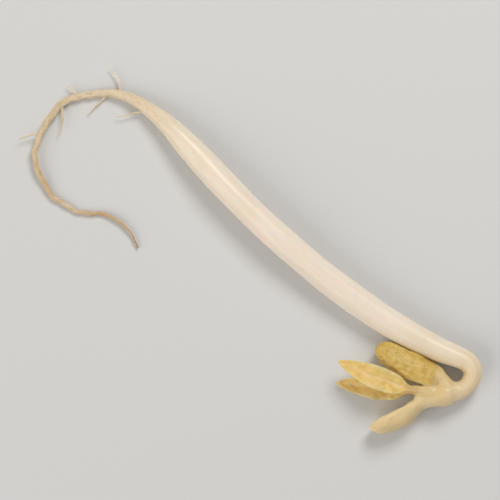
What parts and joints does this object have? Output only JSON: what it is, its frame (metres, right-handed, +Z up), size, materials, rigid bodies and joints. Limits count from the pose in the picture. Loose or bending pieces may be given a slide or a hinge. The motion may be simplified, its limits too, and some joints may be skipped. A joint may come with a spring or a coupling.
{
  "type": "mung bean sprout",
  "caption": "Plump pale sprout lying on its side, with a hooked head, the halves of its bean, its first pair of leaves and a thin curled root.",
  "frame": {"origin": "on the surface that the sprout lies on, under the middle of its box", "axes": "+Z up from the surface; +X along the box's long side, from the root's end to the hook's end; +Y across it"},
  "size_m": [0.0618, 0.049, 0.0048],
  "materials": {
    "stem_flesh": "moist, waxy and slightly see-through white flesh, tan towards the hook and the root",
    "bean_flesh": "mottled ochre-yellow bean flesh, dull and finely wrinkled",
    "leaf_blade": "thin soft yellow blade with fine veins"
  },
  "bodies": {
    "root": {"stem_with_root": "stem_flesh", "cotyledon_inner": "bean_flesh", "cotyledon_outer": "bean_flesh", "first_leaf_upper": "leaf_blade", "first_leaf_lower": "leaf_blade"}
  },
  "joints": []
}
